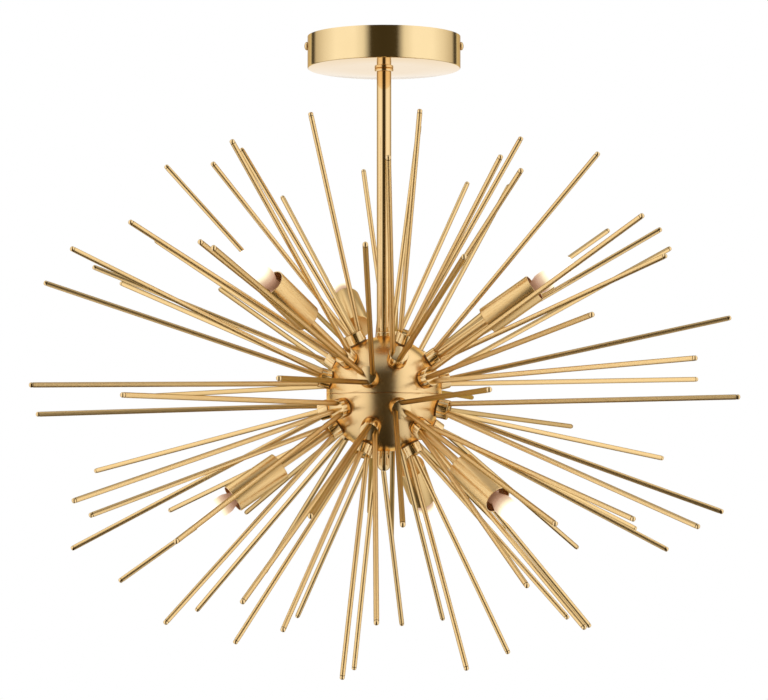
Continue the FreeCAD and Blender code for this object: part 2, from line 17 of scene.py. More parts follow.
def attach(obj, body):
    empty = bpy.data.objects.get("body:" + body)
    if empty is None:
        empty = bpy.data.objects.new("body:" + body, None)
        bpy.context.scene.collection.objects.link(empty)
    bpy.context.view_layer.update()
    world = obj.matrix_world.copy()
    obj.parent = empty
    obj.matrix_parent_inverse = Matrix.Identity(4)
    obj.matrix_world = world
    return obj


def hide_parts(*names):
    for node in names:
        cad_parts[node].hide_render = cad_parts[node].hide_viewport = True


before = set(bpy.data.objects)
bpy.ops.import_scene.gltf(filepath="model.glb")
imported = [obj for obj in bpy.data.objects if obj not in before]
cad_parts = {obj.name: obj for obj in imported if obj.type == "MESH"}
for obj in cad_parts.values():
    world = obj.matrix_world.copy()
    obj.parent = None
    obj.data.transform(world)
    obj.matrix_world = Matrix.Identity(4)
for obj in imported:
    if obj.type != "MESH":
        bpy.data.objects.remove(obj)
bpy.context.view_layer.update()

# %% [markdown]
# ## The camera
#
# The photograph was taken with a long lens from a little below the ball. A long lens keeps the
# rods at the front and at the back nearly the same size, so the camera stands over two metres
# away. It looks up by a few degrees, which shows the canopy's underside as a thin ellipse.

# %% Place the camera
MM = 0.001
CAMERA_DISTANCE = 2120 * MM
CAMERA_HEIGHT = -335.5 * MM
CAMERA_PITCH = math.radians(2.43)

lens = bpy.data.cameras.new("photograph_lens")
lens.lens = 127.5
lens.sensor_width = 36
camera = bpy.data.objects.new("photograph_camera", lens)
camera.location = (0, -CAMERA_DISTANCE, CAMERA_HEIGHT)
camera.rotation_euler = (math.radians(90) + CAMERA_PITCH, 0, 0)
bpy.context.scene.collection.objects.link(camera)
bpy.context.scene.camera = camera
bpy.context.scene.view_settings.view_transform = "Standard"
print("the camera sees", round(math.degrees(lens.angle), 1), "degrees across")

# %% [markdown]
# ## Where everything is
#
# These are the measurements that the pieces below share, in metres. The three rings of bosses
# on the upper half and their mirror on the lower half follow one rule: a bearing round the
# ball, an angle above the seam, and a turn of each three-rod spray about its own boss. The
# sizes of boss, rod circle and cup follow from the splay of the rods, so nothing touches.

# %% Measurements that the pieces share
BALL_RADIUS = 45 * MM
POLE_RADIUS = 6.5 * MM
POLE_HEIGHT = math.sqrt(BALL_RADIUS**2 - POLE_RADIUS**2)
CANOPY_RADIUS = 60 * MM
CANOPY_HEIGHT = 25 * MM
CANOPY_LOW = -CANOPY_HEIGHT
COLLAR_HEIGHT = 2.5 * MM
STEM_RADIUS = 5.7 * MM
STEM_BORE = 4.2 * MM
STEM_LENGTH = 204 * MM
FOOT_HEIGHT = 4 * MM
STEM_TOP = CANOPY_LOW - COLLAR_HEIGHT
STEM_FOOT = STEM_TOP - STEM_LENGTH
BALL_CENTRE = STEM_FOOT - FOOT_HEIGHT - POLE_HEIGHT

SPLAY = math.radians(15)
ROD_RADIUS = 2 * MM
ROD_CUT = ROD_RADIUS / math.cos(SPLAY)  # half the length of a leaning rod's cut on the boss
ROD_ARM_GAP = 0.28 * MM
ARM_RADIUS = 3 * MM
ROD_CIRCLE = ARM_RADIUS + ROD_ARM_GAP + ROD_CUT
BOSS_RIM = 0.3 * MM
BOSS_HEIGHT = 8.5 * MM
BOSS_RADIUS = ROD_CIRCLE + ROD_CUT + BOSS_RIM
BOSS_FACE = BALL_RADIUS + BOSS_HEIGHT
CUP_RADIUS = 11.25 * MM
CUP_LENGTH = 45 * MM
CUP_ROD_GAP = 4.5 * MM
CUP_BACK = BOSS_FACE + (CUP_RADIUS + CUP_ROD_GAP + ROD_CUT - ROD_CIRCLE) / math.tan(SPLAY)
CUP_MOUTH = CUP_BACK + CUP_LENGTH

SIDES = {"upper": 1, "lower": -1}
RINGS = {
    "crown": {
        "elevation": 62,
        "first_bearing": -75,
        "rod": 173.5 * MM,
        "turns": {"upper": (90, 35, 15), "lower": (10, 80, 70)},
    },
    "shoulder": {
        "elevation": 34,
        "first_bearing": -45,
        "rod": 199.5 * MM,
        "turns": {"upper": (105, 55, 20, 90, 75, 100), "lower": (95, 110, 100, 100, 55, 70)},
    },
    "waist": {
        "elevation": 14,
        "first_bearing": -15,
        "rod": 225.5 * MM,
        "turns": {"upper": (60, 105, 95, 55, 60, 70), "lower": (0, 105, 85, 0, 75, 5)},
    },
}
LAMPS = {  # the shoulder bosses that carry a lamp, counted from the first bearing
    "upper": {0: "upper_front", 2: "upper_right", 4: "upper_rear"},
    "lower": {0: "lower_front", 2: "lower_left", 4: "lower_rear"},
}


def turned(degrees, axis):
    return Matrix.Rotation(math.radians(degrees), 4, axis)


def boss_places(half, ring):
    """The places of a ring's bosses: each stands along its own Z, with the ball's centre at 0."""
    facts = RINGS[ring]
    turns = facts["turns"][half]
    side = SIDES[half]
    places = []
    for index, turn in enumerate(turns):
        bearing = side * (facts["first_bearing"] + index * 360 / len(turns))
        places.append(
            Matrix.Translation((0, 0, BALL_CENTRE))
            @ turned(bearing, "Z")
            @ turned(90 - side * facts["elevation"], "X")
            @ turned(turn, "Z")
        )
    return places


print("ball centre at", round(BALL_CENTRE / MM, 2), "mm, cups from", round(CUP_BACK / MM, 1))

# %% [markdown]
# ## The studio
#
# Polished and brushed metal shows its surroundings more than its own colour, so the studio
# comes before the finishes. The room is one soft wall of light with a dark stripe, which runs
# from behind the camera down to the floor: that is the dark band on the ball, the stem and the
# canopy. It is painted as a mirror ball would show it, from its middle to its side, so each
# band keeps one width all the way down. Straight behind the chandelier the metal mirrors a
# white backdrop, with a thin dark gap round it. The camera itself sees plain white on every
# side, also through the glass.

# %% Small helpers for node trees


def add_node(tree, kind, **values):
    """Add a node and set its properties; an input is set by its name with _ for a space."""
    node = tree.nodes.new(kind)
    for key, value in values.items():
        if hasattr(node, key):
            setattr(node, key, value)
        else:
            node.inputs[key.replace("_", " ")].default_value = value
    return node


def maths(tree, operation, first, second=None, clamp=False):
    """One sum on values or sockets; returns its result socket."""
    node = add_node(tree, "ShaderNodeMath", operation=operation, use_clamp=clamp)
    for place, source in ((0, first), (1, second)):
        if isinstance(source, bpy.types.NodeSocket):
            tree.links.new(source, node.inputs[place])
        elif source is not None:
            node.inputs[place].default_value = source
    return node.outputs[0]


def by_share(tree, share, steps):
    """A colour that follows a value from 0 to 1 through (share, level or colour) steps."""
    ramp = add_node(tree, "ShaderNodeValToRGB")
    elements = ramp.color_ramp.elements
    elements.remove(elements[1])
    for index, (place, level) in enumerate(steps):
        element = elements[0] if index == 0 else elements.new(place)
        element.position = place
        element.color = level if isinstance(level, tuple) else (level, level, level, 1.0)
    tree.links.new(share, ramp.inputs["Fac"])
    return ramp.outputs["Color"]


def by_angle(tree, angle, steps):
    """A grey level that follows an angle in radians through (degrees, level) steps."""
    share = maths(tree, "DIVIDE", angle, math.pi)
    return by_share(tree, share, [(degrees / 180, level) for degrees, level in steps])


def blend_colours(tree, blend_type, first, second):
    """Mix two colours in full by the given blend type; returns the colour socket."""
    mix = add_node(tree, "ShaderNodeMix", data_type="RGBA", blend_type=blend_type, Factor=1.0)
    tree.links.new(first, mix.inputs["A"])
    tree.links.new(second, mix.inputs["B"])
    return mix.outputs["Result"]


def seen_directly(tree, path):
    """1 for a ray that comes from the camera or on through glass, 0 for any other."""
    return maths(
        tree, "MAXIMUM", path.outputs["Is Camera Ray"], path.outputs["Is Transmission Ray"]
    )


# %% What the room looks like
# Share of the way from the middle of a mirror ball to its side, and the colour there.
ROOM_ACROSS = (
    (0.0, (0.045, 0.034, 0.016, 1.0)),
    (0.17, (0.05, 0.038, 0.018, 1.0)),
    (0.26, (0.78, 0.76, 0.72, 1.0)),
    (0.38, (0.97, 0.97, 0.97, 1.0)),
    (0.62, (0.97, 0.97, 0.97, 1.0)),
    (0.76, (0.80, 0.78, 0.75, 1.0)),
    (0.90, (0.55, 0.52, 0.48, 1.0)),
)
# Share of the way up that ball, and the least brightness there: the stripe ends above.
STRIPE_TOP = (
    (0.0, 0.0),
    (0.36, 0.0),
    (0.56, 0.45),
)
# Share of the way down that ball, and the brightness there.
ROOM_DOWN = (
    (0.0, 1.16),
    (0.20, 1.16),
    (0.75, 0.80),
)
# Degrees away from straight behind, and the share of the white backdrop.
ROOM_BACK = (
    (0, 1.0),
    (38, 1.0),
    (43, 0.0),
)
# Degrees away from straight behind, and the share of the room that is lit.
ROOM_GAP = (
    (0, 0.15),
    (50, 0.15),
    (57, 1.0),
)

# %% Paint the room
# A mirror ball shows a direction where its own normal lies halfway between that direction and
# the camera. The length of that half vector is the root below. A hair is added to 1, so that
# the division stays safe straight behind the ball.
A_HAIR_OVER_ONE = 1.0001

room = bpy.data.worlds.new("studio_room")
bpy.context.scene.world = room
room.use_nodes = True
tree = room.node_tree
tree.nodes.clear()

direction = add_node(tree, "ShaderNodeTexCoord")
parts = add_node(tree, "ShaderNodeSeparateXYZ")
tree.links.new(direction.outputs["Generated"], parts.inputs[0])
reach = maths(tree, "SUBTRACT", A_HAIR_OVER_ONE, parts.outputs["Y"])
reach = maths(tree, "SQRT", maths(tree, "MULTIPLY", reach, 2.0))
across = maths(tree, "ABSOLUTE", maths(tree, "DIVIDE", parts.outputs["X"], reach))
up = maths(tree, "DIVIDE", parts.outputs["Z"], reach)
down = maths(tree, "MULTIPLY", up, -1.0)
behind = maths(tree, "ARCCOSINE", parts.outputs["Y"])

walls = by_share(tree, across, ROOM_ACROSS)
walls = blend_colours(tree, "LIGHTEN", walls, by_share(tree, up, STRIPE_TOP))
walls = blend_colours(tree, "MULTIPLY", walls, by_share(tree, down, ROOM_DOWN))
walls = blend_colours(tree, "MULTIPLY", walls, by_angle(tree, behind, ROOM_GAP))
path = add_node(tree, "ShaderNodeLightPath")
backdrop = by_angle(tree, behind, ROOM_BACK)
mirrored = maths(tree, "MULTIPLY", path.outputs["Is Glossy Ray"], backdrop)
white = maths(tree, "MAXIMUM", seen_directly(tree, path), mirrored)
walls = blend_colours(tree, "LIGHTEN", walls, white)
background = add_node(tree, "ShaderNodeBackground", Strength=1.0)
tree.links.new(walls, background.inputs["Color"])
output = add_node(tree, "ShaderNodeOutputWorld")
tree.links.new(background.outputs[0], output.inputs["Surface"])
print("the room is painted with", len(tree.nodes), "nodes")

# %% [markdown]
# ## Soft boxes
#
# Two tall soft boxes stand to the left and right of the camera and light the glass and the
# ceramic. The metal doesn't mirror them, because their hard edges would show on it; the room
# above carries what the metal shows.

# %% Two soft boxes
SOFT_BOX_DISTANCE = 1.9
SOFT_BOX_RISE = 0.10
SOFT_BOX_WIDTH = 1.7
SOFT_BOX_TALL = 2.4
SOFT_BOX_BRIGHTNESS = 0.9  # 1 is as bright as white paper
SOFT_BOX_BEARING = 62


def soft_box(name, bearing):
    """An area light that looks at the ball, turned by its bearing away from the camera."""
    light = bpy.data.lights.new(name, "AREA")
    light.shape = "RECTANGLE"
    light.size = SOFT_BOX_WIDTH
    light.size_y = SOFT_BOX_TALL
    light.energy = SOFT_BOX_BRIGHTNESS * math.pi * SOFT_BOX_WIDTH * SOFT_BOX_TALL
    box = bpy.data.objects.new(name, light)
    box.visible_glossy = False
    turn = math.radians(bearing)
    away = Vector((math.sin(turn), -math.cos(turn), 0)) * SOFT_BOX_DISTANCE
    centre = Vector((0, 0, BALL_CENTRE))
    box.location = centre + away + Vector((0, 0, SOFT_BOX_RISE))
    box.rotation_euler = (centre - box.location).to_track_quat("-Z", "Y").to_euler()
    bpy.context.scene.collection.objects.link(box)
    print(name, round(light.energy, 2), "watts")


soft_box("soft_box_left", -SOFT_BOX_BEARING)
soft_box("soft_box_right", SOFT_BOX_BEARING)

# %% [markdown]
# ## The floor
#
# A hanging lamp throws no shadow that the camera sees, but a floor far below it closes the
# studio, and sends a little light up to glass and ceramic. The metal doesn't mirror it. To the
# eye the floor is almost white and fades to full white at its edge, so that it melts into the
# background, and it keeps a little of its real shading, so that a shadow stays. It is clear
# from below, so that it never hides the lamp.

# %% Lay the floor
FLOOR_LEVEL = -1.4
FLOOR_RADIUS = 1.2
FLOOR_WHITE = 0.85  # share of plain white in the middle, where 1 would hide every shadow

disc = bmesh.new()
bmesh.ops.create_circle(disc, cap_ends=True, segments=96, radius=FLOOR_RADIUS)
bmesh.ops.translate(disc, verts=disc.verts, vec=(0, 0, FLOOR_LEVEL))
floor_mesh = bpy.data.meshes.new("studio_floor")
disc.to_mesh(floor_mesh)
disc.free()
floor = bpy.data.objects.new("studio_floor", floor_mesh)
bpy.context.scene.collection.objects.link(floor)
floor.visible_glossy = False

# %% Paint the floor
paint = bpy.data.materials.new("pale_floor")
paint.use_nodes = True
tree = paint.node_tree
tree.nodes.clear()

spot = add_node(tree, "ShaderNodeTexCoord")
flat = add_node(tree, "ShaderNodeVectorMath", operation="MULTIPLY")
flat.inputs[1].default_value = (1 / FLOOR_RADIUS, 1 / FLOOR_RADIUS, 0)
outwards = add_node(tree, "ShaderNodeVectorMath", operation="LENGTH")
tree.links.new(spot.outputs["Object"], flat.inputs[0])
tree.links.new(flat.outputs[0], outwards.inputs[0])
fade = maths(tree, "POWER", outwards.outputs["Value"], 2.0)
fade = maths(tree, "MULTIPLY", fade, 1 - FLOOR_WHITE)
fade = maths(tree, "ADD", fade, FLOOR_WHITE, clamp=True)
path = add_node(tree, "ShaderNodeLightPath")
share = maths(tree, "MULTIPLY", seen_directly(tree, path), fade)


def mix_shaders(tree, share, first, second):
    """Two shaders mixed by a share of the second; returns the shader socket."""
    mix = add_node(tree, "ShaderNodeMixShader")
    tree.links.new(share, mix.inputs[0])
    tree.links.new(first, mix.inputs[1])
    tree.links.new(second, mix.inputs[2])
    return mix.outputs[0]


matt = add_node(tree, "ShaderNodeBsdfDiffuse", Color=(0.85, 0.85, 0.84, 1.0))
glow = add_node(tree, "ShaderNodeEmission", Color=(1.0, 1.0, 1.0, 1.0), Strength=1.0)
from_above = mix_shaders(tree, share, matt.outputs[0], glow.outputs[0])
side = add_node(tree, "ShaderNodeNewGeometry")
clear = add_node(tree, "ShaderNodeBsdfTransparent")
one_sided = mix_shaders(tree, side.outputs["Backfacing"], from_above, clear.outputs[0])
output = add_node(tree, "ShaderNodeOutputMaterial")
tree.links.new(one_sided, output.inputs["Surface"])
floor_mesh.materials.append(paint)
print("the floor lies", -FLOOR_LEVEL, "m under the ceiling")

# %% [markdown]
# ## Brushing, as one shared node group
#
# Nearly every surface was brushed or drawn: fine lines run one way, and the lacquer over them
# varies a little over a hand's width. One node group makes both from a coordinate, so the
# turned parts can use the height above the floor and the rods their own length. It gives the
# height of the lines for a bump, and a share of roughness that changes over the surface.

# %% The brushing group
CLOUD_SHARE = 0.6  # how much of the change in gloss comes from the clouds; the rest is lines


def make_brushing():
    group = bpy.data.node_groups.new("brushing", "ShaderNodeTree")
    face = group.interface
    for name in ("Vector", "Line Scale"):
        face.new_socket(name, in_out="INPUT", socket_type="NodeSocketVector")
    for name in ("Cloud Scale", "Smooth", "Rough"):
        face.new_socket(name, in_out="INPUT", socket_type="NodeSocketFloat")
    for name in ("Lines", "Clouds", "Roughness"):
        face.new_socket(name, in_out="OUTPUT", socket_type="NodeSocketFloat")
    given = add_node(group, "NodeGroupInput")
    result = add_node(group, "NodeGroupOutput")
    stretch = add_node(group, "ShaderNodeVectorMath", operation="MULTIPLY")
    group.links.new(given.outputs["Vector"], stretch.inputs[0])
    group.links.new(given.outputs["Line Scale"], stretch.inputs[1])
    lines = add_node(group, "ShaderNodeTexNoise", Scale=1.0, Detail=3.0, Roughness=0.65)
    group.links.new(stretch.outputs[0], lines.inputs["Vector"])
    clouds = add_node(group, "ShaderNodeTexNoise", Detail=2.0, Roughness=0.5)
    group.links.new(given.outputs["Vector"], clouds.inputs["Vector"])
    group.links.new(given.outputs["Cloud Scale"], clouds.inputs["Scale"])
    from_clouds = maths(group, "MULTIPLY", clouds.outputs["Fac"], CLOUD_SHARE)
    from_lines = maths(group, "MULTIPLY", lines.outputs["Fac"], 1 - CLOUD_SHARE)
    share = maths(group, "ADD", from_clouds, from_lines)
    span = maths(group, "SUBTRACT", given.outputs["Rough"], given.outputs["Smooth"])
    rough = maths(group, "MULTIPLY", share, span)
    rough = maths(group, "ADD", rough, given.outputs["Smooth"])
    group.links.new(lines.outputs["Fac"], result.inputs["Lines"])
    group.links.new(clouds.outputs["Fac"], result.inputs["Clouds"])
    group.links.new(rough, result.inputs["Roughness"])
    return group


BRUSHING = make_brushing()
print("the brushing group has", len(BRUSHING.nodes), "nodes")

# %% A surface and a metal from the brushing group
BRUSHED_DEPTH = 0.2 * MM


def brushed_surface(name, along, lines, clouds, rough, colour, shade, bump, depth):
    """A material whose tint, gloss and relief come from the group; returns it and its shader."""
    material = bpy.data.materials.new(name)
    material.use_nodes = True
    tree = material.node_tree
    surface = tree.nodes["Principled BSDF"]
    coordinate = add_node(tree, "ShaderNodeTexCoord")
    brushing = add_node(
        tree, "ShaderNodeGroup", node_tree=BRUSHING, Line_Scale=lines, Cloud_Scale=clouds,
        Smooth=rough[0], Rough=rough[1],
    )
    tree.links.new(coordinate.outputs[along], brushing.inputs["Vector"])
    tint = add_node(tree, "ShaderNodeMix", data_type="RGBA", A=colour, B=shade)
    tree.links.new(brushing.outputs["Clouds"], tint.inputs["Factor"])
    tree.links.new(tint.outputs["Result"], surface.inputs["Base Color"])
    tree.links.new(brushing.outputs["Roughness"], surface.inputs["Roughness"])
    relief = add_node(tree, "ShaderNodeBump", Strength=bump, Distance=depth)
    tree.links.new(brushing.outputs["Lines"], relief.inputs["Height"])
    tree.links.new(relief.outputs["Normal"], surface.inputs["Normal"])
    return material, surface


def brushed_metal(name, colour, shade, lines, rough, bump, along="Object", edge=None, clouds=30.0):
    """A metal whose lines follow the coordinate given by along, with a slight change of shade."""
    metal, surface = brushed_surface(
        name, along, lines, clouds, rough, colour, shade, bump, BRUSHED_DEPTH
    )
    surface.inputs["Metallic"].default_value = 1.0
    if edge:
        surface.inputs["Specular Tint"].default_value = edge
    return metal


# %% [markdown]
# ## The finishes
#
# The gold is one plated finish that looks different by how each part was worked. Turned parts
# carry rings of fine lines, so their lines change with height. Rods were drawn through a die,
# so their lines run lengthwise and follow each rod's own map. Small cast parts are smoother.
# The inside of a cup is the same gold left duller, and it looks brown because it mostly mirrors
# itself. The fittings in the canopy are plain zinc-plated steel. Each metal has a colour, a
# slightly deeper shade for its clouds, and some have a tint for what they show at a slant. The
# dark gold on the rods' grooves and the bosses' undercuts is painted shade.

# %% Gold finishes
GOLD = (0.90, 0.66, 0.35, 1.0)
GOLD_SHADE = (0.84, 0.59, 0.29, 1.0)
GOLD_EDGE = (0.55, 0.42, 0.26, 1.0)
PALE_GOLD = (0.90, 0.70, 0.39, 1.0)
PALE_SHADE = (0.85, 0.64, 0.34, 1.0)
ROD_GOLD = (0.93, 0.67, 0.33, 1.0)
ROD_SHADE = (0.87, 0.60, 0.27, 1.0)
ROD_EDGE = (0.32, 0.22, 0.09, 1.0)
WARM_GOLD = (0.92, 0.66, 0.34, 1.0)
WARM_SHADE = (0.86, 0.59, 0.28, 1.0)
INNER_GOLD = (0.88, 0.61, 0.33, 1.0)
INNER_SHADE = (0.74, 0.48, 0.24, 1.0)
# Painted shade: a dark gold for the rods' grooves and the bosses' undercuts, where shade falls
PAINTED_SHADE_COLOUR = (0.24, 0.15, 0.06, 1.0)
PAINTED_SHADE_CLOUDS = (0.14, 0.08, 0.03, 1.0)
ZINC = (0.66, 0.67, 0.68, 1.0)
ZINC_SHADE = (0.5, 0.52, 0.55, 1.0)

spun_gold = brushed_metal(
    "spun_gold", PALE_GOLD, PALE_SHADE, (25, 25, 2600), (0.07, 0.13), 0.08, edge=GOLD_EDGE
)
ball_gold = brushed_metal(
    "ball_gold", WARM_GOLD, WARM_SHADE, (30, 30, 2600), (0.18, 0.27), 0.18, edge=WARM_SHADE
)
polished_gold = brushed_metal(
    "polished_gold", GOLD, GOLD_SHADE, (60, 60, 60), (0.05, 0.10), 0.01
)
satin_gold = brushed_metal(
    "satin_gold", ROD_GOLD, ROD_SHADE, (16, 12, 16), (0.24, 0.34), 0.12, along="UV",
    edge=GOLD_EDGE, clouds=3.0,
)
drawn_gold = brushed_metal(
    "drawn_gold", ROD_GOLD, ROD_SHADE, (5, 8, 5), (0.26, 0.34), 0.01, along="UV",
    edge=ROD_EDGE, clouds=3.0,
)
stem_gold = brushed_metal(
    "stem_gold", GOLD, GOLD_SHADE, (16, 3, 16), (0.07, 0.11), 0.01, along="UV",
    edge=GOLD_EDGE, clouds=3.0,
)
cast_gold = brushed_metal(
    "cast_gold", GOLD, GOLD_SHADE, (400, 400, 400), (0.10, 0.2), 0.04, edge=GOLD_EDGE
)
# The dark gold of painted shade, for the grooves and undercuts
painted_shade_gold = brushed_metal(
    "painted_shade_gold", PAINTED_SHADE_COLOUR, PAINTED_SHADE_CLOUDS, (300, 300, 300), (0.35, 0.5), 0.05
)
inner_gold = brushed_metal(
    "inner_gold", INNER_GOLD, INNER_SHADE, (9, 12, 9), (0.30, 0.42), 0.05, along="UV",
    clouds=3.0,
)
zinc_steel = brushed_metal(
    "zinc_steel", ZINC, ZINC_SHADE, (90, 90, 900), (0.25, 0.5), 0.2, clouds=90.0
)
print("materials so far:", [material.name for material in bpy.data.materials])

# %% [markdown]
# ## Plastic and ceramic
#
# The terminal block and the lampholders don't shine like metal. Both take a plain white body
# with a fine unevenness in gloss and surface, the ceramic with a clear glaze over it.

# %% Plastic and ceramic
SPECKLE_LINES = (1500, 1500, 1500)
SPECKLE_CLOUDS = 200.0
SPECKLE_DEPTH = 0.1 * MM
GLAZE_ROUGHNESS = 0.08


def moulded(name, colour, shade, rough, bump, coat):
    """A moulded or glazed material, with the brushing group as an even fine speckle."""
    body, surface = brushed_surface(
        name, "Object", SPECKLE_LINES, SPECKLE_CLOUDS, rough, colour, shade, bump, SPECKLE_DEPTH
    )
    surface.inputs["Coat Weight"].default_value = coat
    surface.inputs["Coat Roughness"].default_value = GLAZE_ROUGHNESS
    return body


white_plastic = moulded(
    "white_plastic", (0.84, 0.84, 0.81, 1.0), (0.76, 0.76, 0.72, 1.0), (0.35, 0.5), 0.15, 0.0
)
ceramic = moulded(
    "glazed_ceramic", (0.85, 0.81, 0.74, 1.0), (0.74, 0.69, 0.62, 1.0), (0.3, 0.45), 0.05, 0.6
)

# %% [markdown]
# ## The lit bulbs
#
# A capsule bulb is frosted glass over a lit filament. In the photograph it is brighter than
# white over most of its length, and only its pinched foot near the holder is a brownish pink.
# The glass piece carries a map whose second coordinate runs along the bulb, and a ramp on it
# goes from the dull foot to full white.

# %% Lit glass
# Share of the bulb's length from the back of its foot, and the colour of the light there.
BULB_GLOW = (
    (0.15, (0.04, 0.02, 0.01, 1.0)),
    (0.40, (0.20, 0.10, 0.055, 1.0)),
    (0.51, (0.36, 0.20, 0.125, 1.0)),
    (0.57, (0.60, 0.42, 0.27, 1.0)),
    (0.62, (0.95, 0.86, 0.58, 1.0)),
    (0.67, (1.0, 1.0, 1.0, 1.0)),
)


def lit_glass():
    """Frosted glass that glows by the second coordinate of its own map."""
    glass = bpy.data.materials.new("lit_frosted_glass")
    glass.use_nodes = True
    tree = glass.node_tree
    surface = tree.nodes["Principled BSDF"]
    surface.inputs["Roughness"].default_value = 0.25
    surface.inputs["Coat Weight"].default_value = 0.15
    surface.inputs["Emission Strength"].default_value = 1.0
    surface.inputs["Base Color"].default_value = (0.22, 0.14, 0.10, 1.0)
    own_map = add_node(tree, "ShaderNodeTexCoord")
    split = add_node(tree, "ShaderNodeSeparateXYZ")
    tree.links.new(own_map.outputs["UV"], split.inputs[0])
    light = by_share(tree, split.outputs["Y"], BULB_GLOW)
    tree.links.new(light, surface.inputs["Emission Color"])
    return glass


LIT_GLASS = lit_glass()
print("the bulbs are white above", BULB_GLOW[-1][0], "of their length")

# %% [markdown]
# ## How a turned piece is made
#
# Most pieces are turned on a lathe. Blender's spin does the same: a half outline of a few
# points is swept once round the Z axis. Afterwards the doubled points on the axis are merged,
# the outside is made to face outwards, and the piece gets a map that runs round and along it.
# A piece that repeats is made once and stamped wherever it stands.

# %% Outlines
CORNER_STEPS = 4


def dome(radius, foot, rise, steps=6):
    """A quarter ellipse from its foot almost up to the axis, where the outline closes it."""
    angles = [math.radians(90 * k / steps) for k in range(steps)]
    return [(radius * math.cos(angle), foot + rise * math.sin(angle)) for angle in angles]


def rounded(radius, height, size, start):
    """A quarter round corner about (radius, height), from start degrees to start + 90."""
    angles = [math.radians(start + 90 * k / CORNER_STEPS) for k in range(CORNER_STEPS + 1)]
    return [(radius + size * math.cos(angle), height + size * math.sin(angle)) for angle in angles]


# %% Turning and mapping
TOUCHING = 1e-7  # metres; points closer than this are one point
SKIN = 0.1 * MM  # a depth that tells the faces of a flat from the ones next to it


def outline_edges(bm, points):
    """The half outline of a turned piece, as (radius, height) points joined by edges."""
    corners = [bm.verts.new((radius, 0, height)) for radius, height in points]
    edges = [bm.edges.new(pair) for pair in zip(corners, corners[1:])]
    return corners + edges


def map_along(bm):
    """Write the piece's own map: first number once round it, second along it in metres."""
    layer = bm.loops.layers.uv.verify()
    for face in bm.faces:
        middle = face.calc_center_median()
        start = math.atan2(middle.y, middle.x)
        for loop in face.loops:
            spot = loop.vert.co
            turn = start if spot.xy.length < TOUCHING else math.atan2(spot.y, spot.x)
            turn += math.tau * round((start - turn) / math.tau)
            loop[layer].uv = (turn / math.tau, spot.z)


def turn_piece(points, steps, closed=False):
    """Spin a half outline once round Z and map it; points on the axis close the ends."""
    bm = bmesh.new()
    geometry = outline_edges(bm, points + points[:1] if closed else points)
    bmesh.ops.spin(
        bm, geom=geometry, cent=(0, 0, 0), axis=(0, 0, 1), angle=math.tau, steps=steps,
        use_merge=True,
    )
    bmesh.ops.remove_doubles(bm, verts=bm.verts, dist=TOUCHING)
    bmesh.ops.recalc_face_normals(bm, faces=bm.faces)
    map_along(bm)
    return bm


# %% Stamping and showing
SHARP_ANGLE = math.radians(35)


def as_mesh(bm, name):
    mesh = bpy.data.meshes.new(name)
    bm.to_mesh(mesh)
    bm.free()
    return mesh


def stamp(bm, mesh, place):
    """Add a copy of a mesh to a piece, moved to its place."""
    have = len(bm.verts)
    bm.from_mesh(mesh)
    bm.verts.ensure_lookup_table()
    bmesh.ops.transform(bm, matrix=place, verts=bm.verts[have:])


def show(bm, name, materials, nodes, body="fixture"):
    """Make a piece from a bmesh: give it its finish and body, and hide the parts it stands for."""
    mesh = as_mesh(bm, name)
    for material in materials:
        mesh.materials.append(material)
    mesh.shade_smooth()
    mesh.set_sharp_from_angle(angle=SHARP_ANGLE)
    piece = bpy.data.objects.new(name, mesh)
    bpy.context.scene.collection.objects.link(piece)
    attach(piece, body)
    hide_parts(*nodes)
    print(name, len(mesh.polygons), "faces")


# %% [markdown]
# ## The rods
#
# Ninety rods of three lengths. Each is a plain bar whose end was turned to a small dome behind
# a fine groove, and the groove shows as a dark ring in the photograph; that ring is painted
# shade, a dark gold on the groove's faces. One rod of each length is made and stamped on every
# boss of its rings. It leans out of its boss and is cut level with the boss face.

# %% One rod
GROOVE_BACK = 3.1 * MM
GROOVE_WIDTH = 0.5 * MM
GROOVE_DEPTH = 0.35 * MM
GROOVE_SLOPE = 0.1 * MM
DOME_HEIGHT = 0.75 * ROD_RADIUS
DOME_STEPS = 4
FACE_OVERLAP = 0.05 * MM


def rod_mesh(length):
    """A rod in its lean: groove as material 1, for painted shade, and domed end as material 2."""
    groove_low = length - GROOVE_BACK
    groove_high = groove_low + GROOVE_WIDTH
    groove_radius = ROD_RADIUS - GROOVE_DEPTH
    points = [
        (ROD_RADIUS, -2 * ROD_RADIUS),
        (ROD_RADIUS, length / 2),
        (ROD_RADIUS, groove_low),
        (groove_radius, groove_low + GROOVE_SLOPE),
        (groove_radius, groove_high - GROOVE_SLOPE),
        (ROD_RADIUS, groove_high),
    ]
    points += dome(ROD_RADIUS, length - DOME_HEIGHT, DOME_HEIGHT, DOME_STEPS)
    points.append((0, length))
    bm = turn_piece(points, steps=18)
    # Material 1 on the groove is the dark gold of painted shade.
    for face in bm.faces:
        height = face.calc_center_median().z
        if height > groove_high:
            face.material_index = 2
        elif height > groove_low:
            face.material_index = 1
    lean = Matrix.Translation((0, ROD_CIRCLE, BOSS_FACE)) @ Matrix.Rotation(-SPLAY, 4, "X")
    bmesh.ops.transform(bm, matrix=lean, verts=bm.verts)
    whole = bm.verts[:] + bm.edges[:] + bm.faces[:]
    bmesh.ops.bisect_plane(
        bm, geom=whole, plane_co=(0, 0, BOSS_FACE - FACE_OVERLAP), plane_no=(0, 0, 1),
        clear_inner=True,
    )
    return as_mesh(bm, "one_rod")


# %% All rods, ring by ring
one_rod = {ring: rod_mesh(facts["rod"]) for ring, facts in RINGS.items()}
for half in SIDES:
    for ring in RINGS:
        bm = bmesh.new()
        for place in boss_places(half, ring):
            for third in range(3):
                stamp(bm, one_rod[ring], place @ turned(120 * third, "Z"))
        show(
            bm, f"rods_{half}_{ring}", [drawn_gold, painted_shade_gold, polished_gold],
            [f"{half}_{ring}_rods"],
        )
